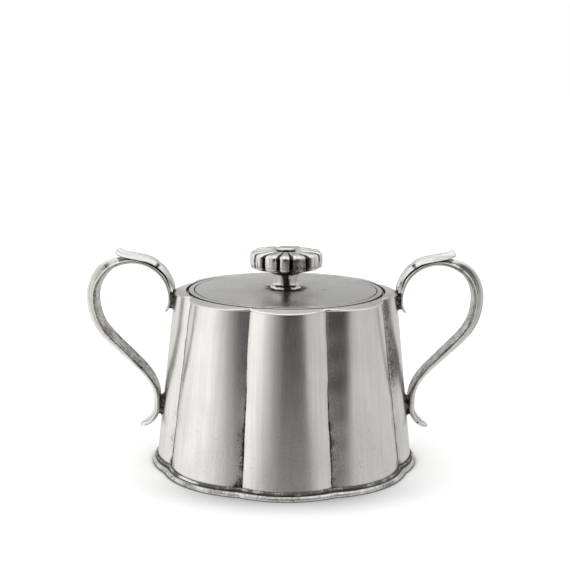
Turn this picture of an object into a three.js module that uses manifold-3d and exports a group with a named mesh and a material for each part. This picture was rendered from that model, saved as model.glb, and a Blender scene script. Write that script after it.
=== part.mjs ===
// Pewter sugar bowl with eight lobes, two scroll handles and a lift-off lid with a flower knob.
// Units are millimetres. +Z is up, the handles lie along X, and the origin is the centre of the
// foot's underside. Every piece is its own mesh, and touching pieces keep a small solder gap.
import * as THREE from "three";
import { mergeVertices } from "three/addons/utils/BufferGeometryUtils.js";
import Module from "manifold-3d";

const wasm = await Module();
wasm.setup();

const GAP = 0.3; // between pieces that touch
const PAD_GAP = 0.2; // round the thin pads between a handle and the wall

// Foot
const FLANGE_CREST = 55.4; // radius of the foot's rim at the middle of a lobe
const FLANGE_LOBE_DEPTH = 1.8; // how far the rim dips at a crease
const FLANGE_THICKNESS = 2;
const FOOT_OPENING = 46;
const BEAD_TOP = 3.3;

// Wall: a lobed cone
const WALL_BOTTOM = FLANGE_THICKNESS + GAP;
const WALL_TOP = 71.2;
const WALL_CREST_BOTTOM = 53.5;
const WALL_CREST_TOP = 46.1;
const LOBE_DEPTH_BOTTOM = 2.8;
const LOBE_DEPTH_TOP = 4.4;
const WALL_THICKNESS = 1.6;
const FLOOR_THICKNESS = 1.6;

// Shoulder, and the ledge that the lid rests on
const SHOULDER_BOTTOM = WALL_TOP + GAP;
const SHOULDER_TOP = 72.8;
const SHOULDER_CREST = 46.7;
const SHOULDER_SLOPE = 0.17; // how steeply the plate falls from the lid's opening to its edge
const LID_OPENING = 41.3;
const SEAT_HOLE = 38;
const SEAT_THICKNESS = 1.3;

// Lid and knob
const LID_RADIUS = 40.2;
const LID_RIM_TOP = 72.9;
const LID_CENTRE_TOP = 73.3;
const LID_GROOVE_RADIUS = 37.8;
const LOCATING_RADIUS = SEAT_HOLE - 0.4;
const LOCATING_WALL = 1.2;
const LOCATING_BOTTOM = 67.5;
const STEM_BOTTOM = LID_CENTRE_TOP + GAP;
const STEM_TOP = 80;
const STEM_WAIST = 5.2;
const STEM_FOOT = 6.3;
const FLOWER_RADIUS = 15.1;
const FLOWER_TOP = 90.1;
const FLOWER_PETALS = 14;
const PETAL_DEPTH = 2.2;
const BUTTON_RADIUS = 3.4;
const BUTTON_TOP = 90.8;
const SCREW_RADIUS = 1.5;
const SCREW_HOLE = SCREW_RADIUS + GAP;
const SCREW_TOP = 78.5;

// Handles: a flat strap with a raised rib on its outer side, bent into a scroll
const HANDLE_WIDTH = 9;
const LOOP_CENTRE_X = 63.1;
const LOOP_CENTRE_Z = 69.1;
const LOOP_RADIUS = 14.6; // of the strap's inner face
const STRAP_THICKNESS = 2;
const STRAP_TAIL_THICKNESS = 1.3;
const RIB_HEIGHT = 2.9;
const LEAF_THICKNESS = 1.8;
const LEAF_REACH = 11.2; // of the straight tip, past the point where the leaf leaves the strap
const UPPER_PAD = { bottom: 64.8, top: 71, outer: 48.5 };
const LOWER_PAD = { bottom: 18.5, top: 28.5, outer: 52.7 };

const LOBE_SPANS = [40.8, 46.4, 46.4, 46.4, 40.8, 46.4, 46.4, 46.4]; // degrees, from the front lobe on
const LOBE_STEPS = 8;
const ROUND_STEPS = 24;

const radians = THREE.MathUtils.degToRad;
const lerp = THREE.MathUtils.lerp;
const smoothstep = THREE.MathUtils.smoothstep;

function wallCrest(z) {
  return lerp(WALL_CREST_BOTTOM, WALL_CREST_TOP, (z - WALL_BOTTOM) / (WALL_TOP - WALL_BOTTOM));
}

function wallLobeDepth(z) {
  return lerp(LOBE_DEPTH_BOTTOM, LOBE_DEPTH_TOP, (z - WALL_BOTTOM) / (WALL_TOP - WALL_BOTTOM));
}

// Radius of a lobe, a circular arc through its crest and the creases at plus and minus half.
function lobeRadius(crest, depth, angle, half) {
  if (depth === 0) {
    return crest;
  }
  const crease = crest - depth;
  const centre = (crest ** 2 - crease ** 2) / (2 * (crest - crease * Math.cos(half)));
  const radius = crest - centre;
  return centre * Math.cos(angle) + Math.sqrt(radius ** 2 - (centre * Math.sin(angle)) ** 2);
}

// A turned profile of [crest radius, height] points whose rings are lobed by depthAt(radius, height).
function lobedLathe(profile, depthAt, spans = LOBE_SPANS, steps = LOBE_STEPS) {
  const points = profile.map(([radius, height]) => new THREE.Vector2(radius, height));
  const columns = spans.length * steps;
  const geometry = new THREE.LatheGeometry(points, columns);
  const starts = spans.map((_, lobe) => spans.slice(0, lobe).reduce((sum, span) => sum + span, 0));
  const position = geometry.getAttribute("position");
  for (let i = 0; i < position.count; i++) {
    const column = Math.floor(i / points.length) % columns;
    const lobe = Math.floor(column / steps);
    const half = radians(spans[lobe]) / 2;
    const within = (2 * (column % steps)) / steps - 1;
    const angle = radians(starts[lobe] - spans[0] / 2) + half * (within + 1);
    const { x: crest, y: height } = points[i % points.length];
    const radius = lobeRadius(crest, depthAt(crest, height), half * within, half);
    position.setXYZ(i, radius * Math.sin(angle), -radius * Math.cos(angle), height);
  }
  return geometry;
}

function roundLathe(profile, columns = ROUND_STEPS) {
  return lobedLathe(profile, () => 0, Array(columns).fill(360 / columns), 1);
}

function ring(inner, outer, bottom, top) {
  return [[inner, bottom], [outer, bottom], [outer, top], [inner, top], [inner, bottom]];
}

function disc(radius, bottom, top) {
  return [[0, bottom], [radius, bottom], [radius, top], [0, top]];
}

function toSolid(geometry) {
  const bare = geometry.clone();
  bare.deleteAttribute("normal");
  bare.deleteAttribute("uv");
  const merged = mergeVertices(bare, 1e-3);
  const vertProperties = merged.getAttribute("position").array;
  return new wasm.Manifold(
    new wasm.Mesh({ numProp: 3, vertProperties, triVerts: new Uint32Array(merged.index.array) }),
  );
}

function toGeometry(solid) {
  const { vertProperties, triVerts } = solid.getMesh();
  const geometry = new THREE.BufferGeometry();
  geometry.setAttribute("position", new THREE.BufferAttribute(vertProperties, 3));
  geometry.setIndex(new THREE.BufferAttribute(triVerts, 1));
  geometry.computeVertexNormals();
  return geometry;
}

function pewter(color, roughness) {
  return new THREE.MeshStandardMaterial({ color, roughness, metalness: 1 });
}

function piece(name, geometry, material) {
  const mesh = new THREE.Mesh(geometry, material);
  mesh.name = name;
  return mesh;
}

// ---- Bowl ----

function baseFlange() {
  const beadInner = WALL_CREST_BOTTOM + GAP;
  const profile = [
    [FOOT_OPENING, 0],
    [FLANGE_CREST - 0.8, 0],
    [FLANGE_CREST, 0.6],
    [FLANGE_CREST, 1.3],
    [FLANGE_CREST - 0.6, 1.9],
    [beadInner + 0.5, FLANGE_THICKNESS],
    [beadInner + 0.7, 2.6],
    [beadInner + 0.4, BEAD_TOP - 0.1],
    [beadInner, BEAD_TOP],
    [beadInner, FLANGE_THICKNESS],
    [FOOT_OPENING, FLANGE_THICKNESS],
    [FOOT_OPENING, 0],
  ];
  const depthAt = (radius, height) => {
    if (radius <= FOOT_OPENING) {
      return 0;
    }
    return height < FLANGE_THICKNESS ? FLANGE_LOBE_DEPTH : LOBE_DEPTH_BOTTOM;
  };
  return lobedLathe(profile, depthAt);
}

function wallShell() {
  const profile = [
    [WALL_CREST_BOTTOM, WALL_BOTTOM],
    [WALL_CREST_TOP, WALL_TOP],
    [WALL_CREST_TOP - WALL_THICKNESS, WALL_TOP],
    [WALL_CREST_BOTTOM - WALL_THICKNESS, WALL_BOTTOM],
    [WALL_CREST_BOTTOM, WALL_BOTTOM],
  ];
  return lobedLathe(profile, (_, height) => wallLobeDepth(height));
}

// The wall's outside as a solid, grown by a gap, for cutting what is fixed to it.
function wallEnvelope(gap) {
  const profile = [
    [0, WALL_BOTTOM],
    [WALL_CREST_BOTTOM + gap, WALL_BOTTOM],
    [WALL_CREST_TOP + gap, WALL_TOP],
    [0, WALL_TOP],
  ];
  return toSolid(lobedLathe(profile, (radius, height) => (radius ? wallLobeDepth(height) : 0)));
}

function floorPlate() {
  const radius = WALL_CREST_BOTTOM - WALL_THICKNESS - 1.5 * GAP;
  const profile = disc(radius, WALL_BOTTOM, WALL_BOTTOM + FLOOR_THICKNESS);
  return lobedLathe(profile, (crest, height) => (crest ? wallLobeDepth(height) : 0));
}

function shoulderPlate() {
  const profile = [
    [LID_OPENING, SHOULDER_BOTTOM],
    [SHOULDER_CREST - 0.6, SHOULDER_BOTTOM],
    [SHOULDER_CREST, SHOULDER_BOTTOM + 0.15],
    [SHOULDER_CREST - 0.3, SHOULDER_TOP],
    [LID_OPENING, SHOULDER_TOP],
    [LID_OPENING, SHOULDER_BOTTOM],
  ];
  const plate = lobedLathe(profile, (radius) => (radius > LID_OPENING ? LOBE_DEPTH_TOP : 0));
  const position = plate.getAttribute("position");
  for (let i = 0; i < position.count; i++) {
    if (position.getZ(i) === Math.fround(SHOULDER_TOP)) {
      const radius = Math.hypot(position.getX(i), position.getY(i));
      position.setZ(i, SHOULDER_TOP - SHOULDER_SLOPE * Math.max(radius - LID_OPENING, 0));
    }
  }
  return plate;
}

function lidSeatRing() {
  const outer = WALL_CREST_TOP - WALL_THICKNESS - GAP;
  const profile = ring(SEAT_HOLE, outer, WALL_TOP - SEAT_THICKNESS, WALL_TOP);
  return lobedLathe(profile, (radius) => (radius > SEAT_HOLE ? LOBE_DEPTH_TOP : 0));
}

// ---- Handles, drawn for the +X side ----

// The strap's inner face in the XZ plane, from the upper tail round the loop to the lower tail.
function strapPath() {
  const loopEnd = radians(-5);
  const path = new THREE.Path();
  path.moveTo(50.2, 63.6);
  path.quadraticCurveTo(LOOP_CENTRE_X - LOOP_RADIUS, 66, LOOP_CENTRE_X - LOOP_RADIUS, LOOP_CENTRE_Z);
  path.absarc(LOOP_CENTRE_X, LOOP_CENTRE_Z, LOOP_RADIUS, Math.PI, loopEnd, true);
  path.bezierCurveTo(77, 59.9, 74.4, 56.7, 69.9, 52);
  path.lineTo(60.2, 42.15);
  path.bezierCurveTo(56, 37.9, 52.2, 33, 52.1, 27);
  path.lineTo(52.1, 23);
  path.bezierCurveTo(52.1, 19.3, 55.7, 14.3, 60.3, 14.3);
  return path;
}

// Bends a straight extruded bar along a path in the XZ plane. The section's x is across the
// handle, in half widths, and its y is in layers: 0 the inner face, 1 the strap's top, 2 the rib's.
// layersAt(u) gives the half width, the strap's thickness and the rib's height at u along the path.
function bentBar(path, section, steps, layersAt, clearance = 0) {
  const shape = new THREE.Shape(section.map(([x, y]) => new THREE.Vector2(x, y)));
  const bar = new THREE.ExtrudeGeometry(shape, { steps, depth: 1, bevelEnabled: false });
  const position = bar.getAttribute("position");
  for (let i = 0; i < position.count; i++) {
    const along = position.getZ(i);
    const layer = position.getY(i);
    const { halfWidth, strap, rib } = layersAt(along);
    const thickness = strap + 2 * clearance;
    const height = Math.min(layer, 1) * thickness - clearance + Math.max(layer - 1, 0) * rib;
    const point = path.getPointAt(along);
    const tangent = path.getTangentAt(along);
    position.setXYZ(
      i,
      point.x - tangent.y * height,
      position.getX(i) * (halfWidth + clearance),
      point.y + tangent.x * height,
    );
  }
  return bar;
}

function handleStrap(clearance = 0) {
  const section = [[-1, 0], [1, 0], [1, 0.75], [0.45, 1], [0.28, 2], [-0.28, 2], [-0.45, 1], [-1, 0.75]];
  const layersAt = (along) => {
    const nearTips = smoothstep(along, 0, 0.05) * (1 - smoothstep(along, 0.93, 1));
    const ribRise = smoothstep(along, 0.22, 0.36);
    const taper = lerp(1, 0.25, smoothstep(along, 0.35, 0.95));
    const thickness = lerp(STRAP_TAIL_THICKNESS, STRAP_THICKNESS, smoothstep(along, 0.07, 0.13));
    return {
      halfWidth: (HANDLE_WIDTH / 2) * lerp(0.7, 1, nearTips),
      strap: thickness * lerp(0.8, 1, nearTips),
      rib: RIB_HEIGHT * ribRise * taper,
    };
  };
  return bentBar(strapPath(), section, 48, layersAt, clearance);
}

// The thumb leaf: it starts on the shoulder, follows the loop, and leaves it at a lifted tip.
function handleLeaf() {
  const leafEnd = radians(104);
  const inner = LOOP_RADIUS + STRAP_THICKNESS + GAP;
  const path = new THREE.Path();
  path.absarc(LOOP_CENTRE_X, LOOP_CENTRE_Z, inner, radians(165.5), leafEnd, true);
  const x = LOOP_CENTRE_X + inner * Math.cos(leafEnd);
  const z = LOOP_CENTRE_Z + inner * Math.sin(leafEnd);
  path.lineTo(x + LEAF_REACH * Math.sin(leafEnd), z - LEAF_REACH * Math.cos(leafEnd));
  const section = [[-1, 0], [1, 0], [1, 0.55], [0.4, 1], [-0.4, 1], [-1, 0.55]];
  const layersAt = (along) => ({
    halfWidth: (HANDLE_WIDTH / 2) * lerp(1, 0.35, smoothstep(along, 0.7, 1)),
    strap: LEAF_THICKNESS * lerp(1, 0.6, smoothstep(along, 0.6, 1)),
    rib: 0,
  });
  return bentBar(path, section, 18, layersAt);
}

// A thin pad of solder between the strap and the wall, cut to fit both.
function handlePad({ bottom, top, outer }) {
  const halfWidth = HANDLE_WIDTH / 2 + 0.7;
  const halfHeight = (top - bottom) / 2;
  const depth = 8;
  const outline = new THREE.Shape();
  outline.absellipse(0, 0, halfHeight, halfWidth, 0, 2 * Math.PI);
  const block = new THREE.ExtrudeGeometry(outline, { depth, bevelEnabled: false, curveSegments: 8 });
  block.rotateY(-Math.PI / 2);
  block.translate(outer, 0, (bottom + top) / 2);
  const fitted = toSolid(block).subtract(wallEnvelope(PAD_GAP));
  return toGeometry(fitted.subtract(toSolid(handleStrap(PAD_GAP))));
}

function handle(side, turn) {
  const group = new THREE.Group();
  group.add(
    piece(`handle_${side}_scroll`, handleStrap(), pewter(0xb4b2aa, 0.3)),
    piece(`handle_${side}_leaf`, handleLeaf(), pewter(0xbab8b0, 0.28)),
    piece(`handle_${side}_upper_pad`, handlePad(UPPER_PAD), pewter(0x6f6d67, 0.5)),
    piece(`handle_${side}_lower_pad`, handlePad(LOWER_PAD), pewter(0x6f6d67, 0.5)),
  );
  group.rotation.z = turn;
  return group;
}

// ---- Lid and knob ----

function lidDisc() {
  const profile = [
    [SCREW_HOLE, SHOULDER_BOTTOM],
    [LID_RADIUS, SHOULDER_BOTTOM],
    [LID_RADIUS, LID_RIM_TOP - 0.3],
    [LID_RADIUS - 0.3, LID_RIM_TOP],
    [LID_GROOVE_RADIUS + 0.3, LID_RIM_TOP + 0.15],
    [LID_GROOVE_RADIUS, LID_RIM_TOP - 0.2],
    [LID_GROOVE_RADIUS - 0.4, LID_RIM_TOP + 0.15],
    [0.4 * LID_RADIUS, LID_CENTRE_TOP],
    [SCREW_HOLE, LID_CENTRE_TOP],
    [SCREW_HOLE, SHOULDER_BOTTOM],
  ];
  return roundLathe(profile, 64);
}

function lidLocatingRing() {
  const inner = LOCATING_RADIUS - LOCATING_WALL;
  return roundLathe(ring(inner, LOCATING_RADIUS, LOCATING_BOTTOM, SHOULDER_BOTTOM - GAP), 64);
}

function knobStem() {
  const profile = [
    [SCREW_HOLE, STEM_BOTTOM],
    [STEM_FOOT, STEM_BOTTOM],
    [STEM_FOOT - 0.2, STEM_BOTTOM + 0.6],
    [STEM_WAIST + 0.1, 75.6],
    [STEM_WAIST, 77],
    [STEM_WAIST + 0.3, 79],
    [STEM_FOOT, STEM_TOP],
    [0, STEM_TOP],
    [0, SCREW_TOP + GAP],
    [SCREW_HOLE, SCREW_TOP + GAP],
    [SCREW_HOLE, STEM_BOTTOM],
  ];
  return roundLathe(profile);
}

function knobFlower() {
  const bottom = STEM_TOP + GAP;
  const pocket = BUTTON_RADIUS + GAP;
  const profile = [
    [0, bottom],
    [6.5, bottom + 0.2],
    [FLOWER_RADIUS - 2.1, bottom + 1.6],
    [FLOWER_RADIUS - 0.4, bottom + 2.4],
    [FLOWER_RADIUS, bottom + 4.2],
    [FLOWER_RADIUS, bottom + 6.4],
    [FLOWER_RADIUS - 0.6, FLOWER_TOP - 1.8],
    [FLOWER_RADIUS - 1.9, FLOWER_TOP - 1.2],
    [10.5, FLOWER_TOP - 0.7],
    [6, FLOWER_TOP],
    [pocket, FLOWER_TOP - 0.7],
    [pocket, FLOWER_TOP - 1.6],
    [0, FLOWER_TOP - 1.6],
  ];
  const depthAt = (radius) => PETAL_DEPTH * smoothstep(radius, pocket, FLOWER_RADIUS);
  return lobedLathe(profile, depthAt, Array(FLOWER_PETALS).fill(360 / FLOWER_PETALS), 4);
}

function knobButton() {
  const bottom = FLOWER_TOP - 1.6 + GAP;
  return roundLathe([
    [0, bottom],
    [BUTTON_RADIUS, bottom],
    [BUTTON_RADIUS, BUTTON_TOP - 0.5],
    [BUTTON_RADIUS - 0.8, BUTTON_TOP - 0.1],
    [0, BUTTON_TOP],
  ]);
}

const WASHER_TOP = SHOULDER_BOTTOM - GAP;
const WASHER_THICKNESS = 0.8;

function knobWasher() {
  return roundLathe(ring(SCREW_HOLE, 4.5, WASHER_TOP - WASHER_THICKNESS, WASHER_TOP));
}

function knobScrew() {
  const headTop = WASHER_TOP - WASHER_THICKNESS - GAP;
  const headHeight = 1.8;
  return roundLathe([
    [0, headTop - headHeight],
    [2.4, headTop - headHeight],
    [3.2, headTop - 0.8],
    [3.2, headTop],
    [SCREW_RADIUS, headTop],
    [SCREW_RADIUS, SCREW_TOP],
    [0, SCREW_TOP],
  ]);
}

const bowl = new THREE.Group();
bowl.add(
  piece("base_flange", baseFlange(), pewter(0xb0aea6, 0.3)),
  piece("floor_plate", floorPlate(), pewter(0xa8a69e, 0.4)),
  piece("wall_shell", wallShell(), pewter(0xb8b6ae, 0.3)),
  piece("shoulder_plate", shoulderPlate(), pewter(0xb8b6ae, 0.28)),
  piece("lid_seat_ring", lidSeatRing(), pewter(0xa8a69e, 0.4)),
  handle("right", 0),
  handle("left", Math.PI),
);

const lid = new THREE.Group();
lid.add(
  piece("lid_disc", lidDisc(), pewter(0xb8b6ae, 0.35)),
  piece("lid_locating_ring", lidLocatingRing(), pewter(0xa8a69e, 0.4)),
  piece("knob_stem", knobStem(), pewter(0xaeaca4, 0.3)),
  piece("knob_flower", knobFlower(), pewter(0xb4b2aa, 0.3)),
  piece("knob_button", knobButton(), pewter(0xc0beb6, 0.25)),
  piece("knob_washer", knobWasher(), pewter(0x9a9a98, 0.4)),
  piece("knob_screw", knobScrew(), pewter(0x8f9092, 0.4)),
);

const sugarBowl = new THREE.Group();
sugarBowl.add(bowl, lid);

export default sugarBowl;
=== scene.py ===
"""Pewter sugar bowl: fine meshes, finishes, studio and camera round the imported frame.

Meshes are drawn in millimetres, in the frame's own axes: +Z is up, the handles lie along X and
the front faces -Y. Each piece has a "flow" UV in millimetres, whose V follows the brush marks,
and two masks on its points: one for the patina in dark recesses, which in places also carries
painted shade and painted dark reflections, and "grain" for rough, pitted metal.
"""

import math

import bmesh
import bpy
import numpy as np
from mathutils import Matrix, Vector, noise


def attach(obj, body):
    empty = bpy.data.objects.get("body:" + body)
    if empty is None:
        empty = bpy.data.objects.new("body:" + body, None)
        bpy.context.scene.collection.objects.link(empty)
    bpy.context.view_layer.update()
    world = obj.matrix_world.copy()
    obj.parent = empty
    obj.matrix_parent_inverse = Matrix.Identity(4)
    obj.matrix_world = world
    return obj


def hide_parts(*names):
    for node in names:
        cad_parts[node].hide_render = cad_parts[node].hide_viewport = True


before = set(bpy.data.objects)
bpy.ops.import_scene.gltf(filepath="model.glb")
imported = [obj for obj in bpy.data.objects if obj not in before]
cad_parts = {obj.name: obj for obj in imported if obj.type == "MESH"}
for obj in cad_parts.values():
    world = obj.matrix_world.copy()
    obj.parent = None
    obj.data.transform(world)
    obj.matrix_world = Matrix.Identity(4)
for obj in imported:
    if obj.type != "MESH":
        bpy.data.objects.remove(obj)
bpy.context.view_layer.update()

MM = 0.001

# Sizes in millimetres, as in the CAD model
FLANGE_CREST = 55.4
FLANGE_LOBE_DEPTH = 1.8
FOOT_OPENING = 46.0
WALL_BOTTOM = 2.3
WALL_TOP = 71.2
WALL_CREST_BOTTOM = 53.5
WALL_CREST_TOP = 46.1
LOBE_DEPTH_BOTTOM = 2.8
LOBE_DEPTH_TOP = 4.4
WALL_THICKNESS = 1.6
SHOULDER_CREST = 46.7
SHOULDER_TOP = 72.8
SHOULDER_SLOPE = 0.17
LID_OPENING = 41.3
LID_RADIUS = 40.2
LOOP_CENTRE = np.array([63.1, 69.1])
LOOP_RADIUS = 14.6
HANDLE_WIDTH = 9.0
STRAP_THICKNESS = 2.0
RIB_HEIGHT = 2.9
LEAF_REACH = 11.2
LOBE_SPANS = [40.8, 46.4, 46.4, 46.4, 40.8, 46.4, 46.4, 46.4]

# The flower's 14 grooves, in degrees anticlockwise from the front as seen from above: those at the
# front are uneven, because they were filed by hand, and the other eight are evenly spaced
FRONT_GROOVES = [-62, -41, -14, 7, 36, 71]
PETAL_GROOVES = FRONT_GROOVES + list(np.linspace(71, 360 - 62, 10)[1:-1])


# ---- Numbers ----


def smoothstep(x, low, high):
    t = np.clip((np.asarray(x, float) - low) / (high - low), 0, 1)
    return t * t * (3 - 2 * t)


def lerp(a, b, t):
    return a + (b - a) * t


def bell(x, centre, width):
    return np.exp(-(((np.asarray(x, float) - centre) / width) ** 2))


def rough_noise(points, size, seed=0.0):
    """Smooth noise from -1 to 1 at each point, with features about size millimetres across."""
    flat = np.asarray(points, float).reshape(-1, 3) / size
    shift = Vector((seed, 2.3 * seed, -1.7 * seed))
    values = [noise.noise(Vector(p) + shift) for p in flat]
    return np.array(values).reshape(np.asarray(points).shape[:-1])


# ---- Meshes ----


def surface(name, rows, across, along, masks=None, closed_rows=False, sharp=26):
    """A mesh from rows of points. Each row is a closed ring, across and along are its flow UV with
    one more column than the rows, and masks hold one number for each point."""
    rows = np.asarray(rows, float)
    count, columns = rows.shape[:2]
    last = count if closed_rows else count - 1
    faces = []
    corners = []
    for r in range(last):
        below = (r + 1) % count
        for c in range(columns):
            right = (c + 1) % columns
            faces.append((r * columns + c, r * columns + right,
                          below * columns + right, below * columns + c))
            corners += [(r, c), (r, c + 1), (r + 1, c + 1), (r + 1, c)]
    mesh = bpy.data.meshes.new(name)
    mesh.from_pydata((rows.reshape(-1, 3) * MM).tolist(), [], faces)
    index = np.array(corners)
    if closed_rows:
        across = np.vstack([across, across[:1] + (across[-1:] - across[-2:-1])])
        along = np.vstack([along, along[:1] if np.ptp(along[:, 0]) == 0 else along[-1:]])
    flow = np.stack([across[index[:, 0], index[:, 1]], along[index[:, 0], index[:, 1]]], 1)
    mesh.uv_layers.new(name="flow").data.foreach_set("uv", flow.ravel())
    for mask in ("patina_and_shade", "grain"):
        values = (masks or {}).get(mask, 0.0)
        values = np.broadcast_to(values, (count, columns)).astype(np.float32)
        mesh.attributes.new(mask, "FLOAT", "POINT").data.foreach_set("value", values.ravel())
    tidy = bmesh.new()
    tidy.from_mesh(mesh)
    bmesh.ops.remove_doubles(tidy, verts=tidy.verts, dist=1e-7)
    bmesh.ops.recalc_face_normals(tidy, faces=tidy.faces)
    tidy.to_mesh(mesh)
    tidy.free()
    mesh.polygons.foreach_set("use_smooth", [True] * len(mesh.polygons))
    mesh.set_sharp_from_angle(angle=math.radians(sharp))
    piece = bpy.data.objects.new(name, mesh)
    bpy.context.scene.collection.objects.link(piece)
    return piece


def outline(points, longest=4.0, closed=True, support=0.2, steps=5):
    """A turned outline from corners (radius, height, trim): each corner is rounded off over its
    trim, with a support point beside it, and long edges are divided."""
    path = []
    count = len(points)
    for i, (radius, height, trim) in enumerate(points):
        corner = np.array([radius, height], float)
        at_end = not closed and i in (0, count - 1)
        if at_end or trim == 0:
            path.append(corner)
            continue
        before = np.array(points[i - 1][:2], float) - corner
        after = np.array(points[(i + 1) % count][:2], float) - corner
        ahead = after / np.linalg.norm(after)
        behind = before / np.linalg.norm(before)
        if np.linalg.norm(before) > 2 * (trim + support):
            path.append(corner + behind * (trim + support))
        start, end = corner + behind * trim, corner + ahead * trim
        for step in np.linspace(0, 1, steps):
            path.append((1 - step) ** 2 * start + 2 * step * (1 - step) * corner + step**2 * end)
        if np.linalg.norm(after) > 2 * (trim + support):
            path.append(corner + ahead * (trim + support))
    divided = []
    for i, point in enumerate(path):
        if not closed and i == len(path) - 1:
            divided.append(point)
            break
        following = path[(i + 1) % len(path)]
        parts = max(1, math.ceil(np.linalg.norm(following - point) / longest))
        divided += [point + (following - point) * k / parts for k in range(parts)]
    return np.array(divided)


def smooth_curve(points, count):
    """A curve through the points, by Catmull-Rom."""
    points = np.array(points, float)
    padded = np.vstack([2 * points[0] - points[1], points, 2 * points[-1] - points[-2]])
    steps = np.linspace(0, len(points) - 1 - 1e-9, count)
    curve = []
    for value in steps:
        i = int(value)
        t = value - i
        a, b, c, d = padded[i:i + 4]
        curve.append(0.5 * (2 * b + (c - a) * t + (2 * a - 5 * b + 4 * c - d) * t**2
                            + (3 * b - a - 3 * c + d) * t**3))
    return np.array(curve)


# ---- Lobed and round rings ----


def lobe_radius(crest, depth, angle, half):
    """Radius of a lobe, a circular arc through its crest and the creases at plus and minus half."""
    crease = crest - depth
    centre = (crest**2 - crease**2) / (2 * (crest - crease * np.cos(half)))
    radius = crest - centre
    return centre * np.cos(angle) + np.sqrt(radius**2 - (centre * np.sin(angle)) ** 2)


def crease_wander(crease, height):
    """How far a crease strays sideways at a height, in millimetres."""
    return (0.22 * np.sin(height / 12.7 + 1.9 * crease) + 0.12 * np.sin(height / 5.1 + 4.3 * crease)
            + 0.06 * np.sin(height / 1.9 + 2.2 * crease) * (crease % 2 + 0.3))


def lobed_rings(path, depth_at, steps=26):
    """Rings along a turned path whose outlines have the bowl's eight lobes. Also gives each
    point's distance from its nearest crease, the angle of its column before any wandering, and
    the number of each column's nearest crease."""
    crest, height = path[:, :1], path[:, 1:]
    depth = np.array([depth_at(r, z) for r, z in path])[:, None]
    spans = np.radians(LOBE_SPANS)
    starts = np.concatenate([[0], np.cumsum(spans)]) - spans[0] / 2
    rings, distances, angles, creases = [], [], [], []
    for lobe, span in enumerate(spans):
        for step in range(steps):
            within = -math.cos(math.pi * step / steps)
            half = span / 2
            stray = lerp(crease_wander(lobe, height), crease_wander((lobe + 1) % 8, height),
                         (within + 1) / 2)
            swing = np.where(depth > 0, stray / crest.clip(1), 0)
            angle = starts[lobe] + half * (within + 1) + swing
            bent = np.where(depth > 0, lobe_radius(crest, np.maximum(depth, 1e-4), half * within,
                                                   half), crest)
            rings.append(np.hstack([bent * np.sin(angle), -bent * np.cos(angle), height]))
            distances.append((1 - abs(within)) * half * crest[:, 0])
            angles.append(np.full(len(path), starts[lobe] + half * (within + 1)))
            creases.append(lobe if within < 0 else (lobe + 1) % 8)
    return (np.stack(rings, 1), np.stack(distances, 1), np.stack(angles, 1), np.array(creases))


def round_rings(path, columns):
    """Rings along a turned path, and the angle of each of their points."""
    angle = np.arange(columns) * 2 * math.pi / columns
    radius, height = path[:, :1], path[:, 1:]
    rings = np.stack([radius * np.sin(angle), -radius * np.cos(angle),
                      np.broadcast_to(height, (len(path), columns))], -1)
    return rings, np.broadcast_to(angle, rings.shape[:2])


def flow_round(rings, path, upright):
    """Flow UV of turned rings: brush marks run up the profile, or round the axis."""
    columns = rings.shape[1]
    length = np.concatenate([[0], np.cumsum(np.linalg.norm(np.diff(path, axis=0), axis=1))])
    reach = np.median(np.hypot(rings[..., 0], rings[..., 1]))
    around = np.linspace(0, 2 * math.pi * reach, columns + 1)[None, :].repeat(len(path), 0)
    up = length[:, None].repeat(columns + 1, 1)
    return (around, up) if upright else (up, around)


def flow_flat(rings):
    """Flow UV of a flat plate brushed along X."""
    wrapped = np.concatenate([rings, rings[:, :1]], 1)
    return wrapped[..., 1] + 0.3 * wrapped[..., 2], wrapped[..., 0]


# ---- Finishes ----


class Nodes:
    """Short hands for building a node tree."""

    def __init__(self, tree):
        self.tree = tree
        tree.nodes.clear()

    def add(self, kind, inputs=None, **settings):
        node = self.tree.nodes.new("ShaderNode" + kind)
        for key, value in settings.items():
            setattr(node, key, value)
        for key, value in (inputs or {}).items():
            socket = node.inputs[key]
            if isinstance(value, bpy.types.NodeSocket):
                self.tree.links.new(value, socket)
            else:
                socket.default_value = value
        return node

    def math(self, operation, a, b=0.0, c=0.0):
        return self.add("Math", {0: a, 1: b, 2: c}, operation=operation).outputs[0]

    def ramp(self, value, low, high, start=0.0, end=1.0, smooth=True):
        node = self.add("MapRange", {"Value": value, "From Min": low, "From Max": high,
                                     "To Min": start, "To Max": end})
        node.interpolation_type = "SMOOTHSTEP" if smooth else "LINEAR"
        return node.outputs["Result"]

    def noise(self, vector, scale, detail=2.0, roughness=0.5):
        scaled = self.add("VectorMath", {0: vector, 1: scale}, operation="MULTIPLY").outputs[0]
        return self.add("TexNoise", {"Vector": scaled, "Scale": 1.0, "Detail": detail,
                                     "Roughness": roughness}).outputs["Fac"]

    def mix(self, factor, a, b):
        node = self.add("Mix", data_type="RGBA")
        for socket, value in (("Factor_Float", factor), ("A_Color", a), ("B_Color", b)):
            target = next(s for s in node.inputs if s.identifier == socket)
            if isinstance(value, bpy.types.NodeSocket):
                self.tree.links.new(value, target)
            else:
                target.default_value = value
        return next(s for s in node.outputs if s.identifier == "Result_Color")


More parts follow.
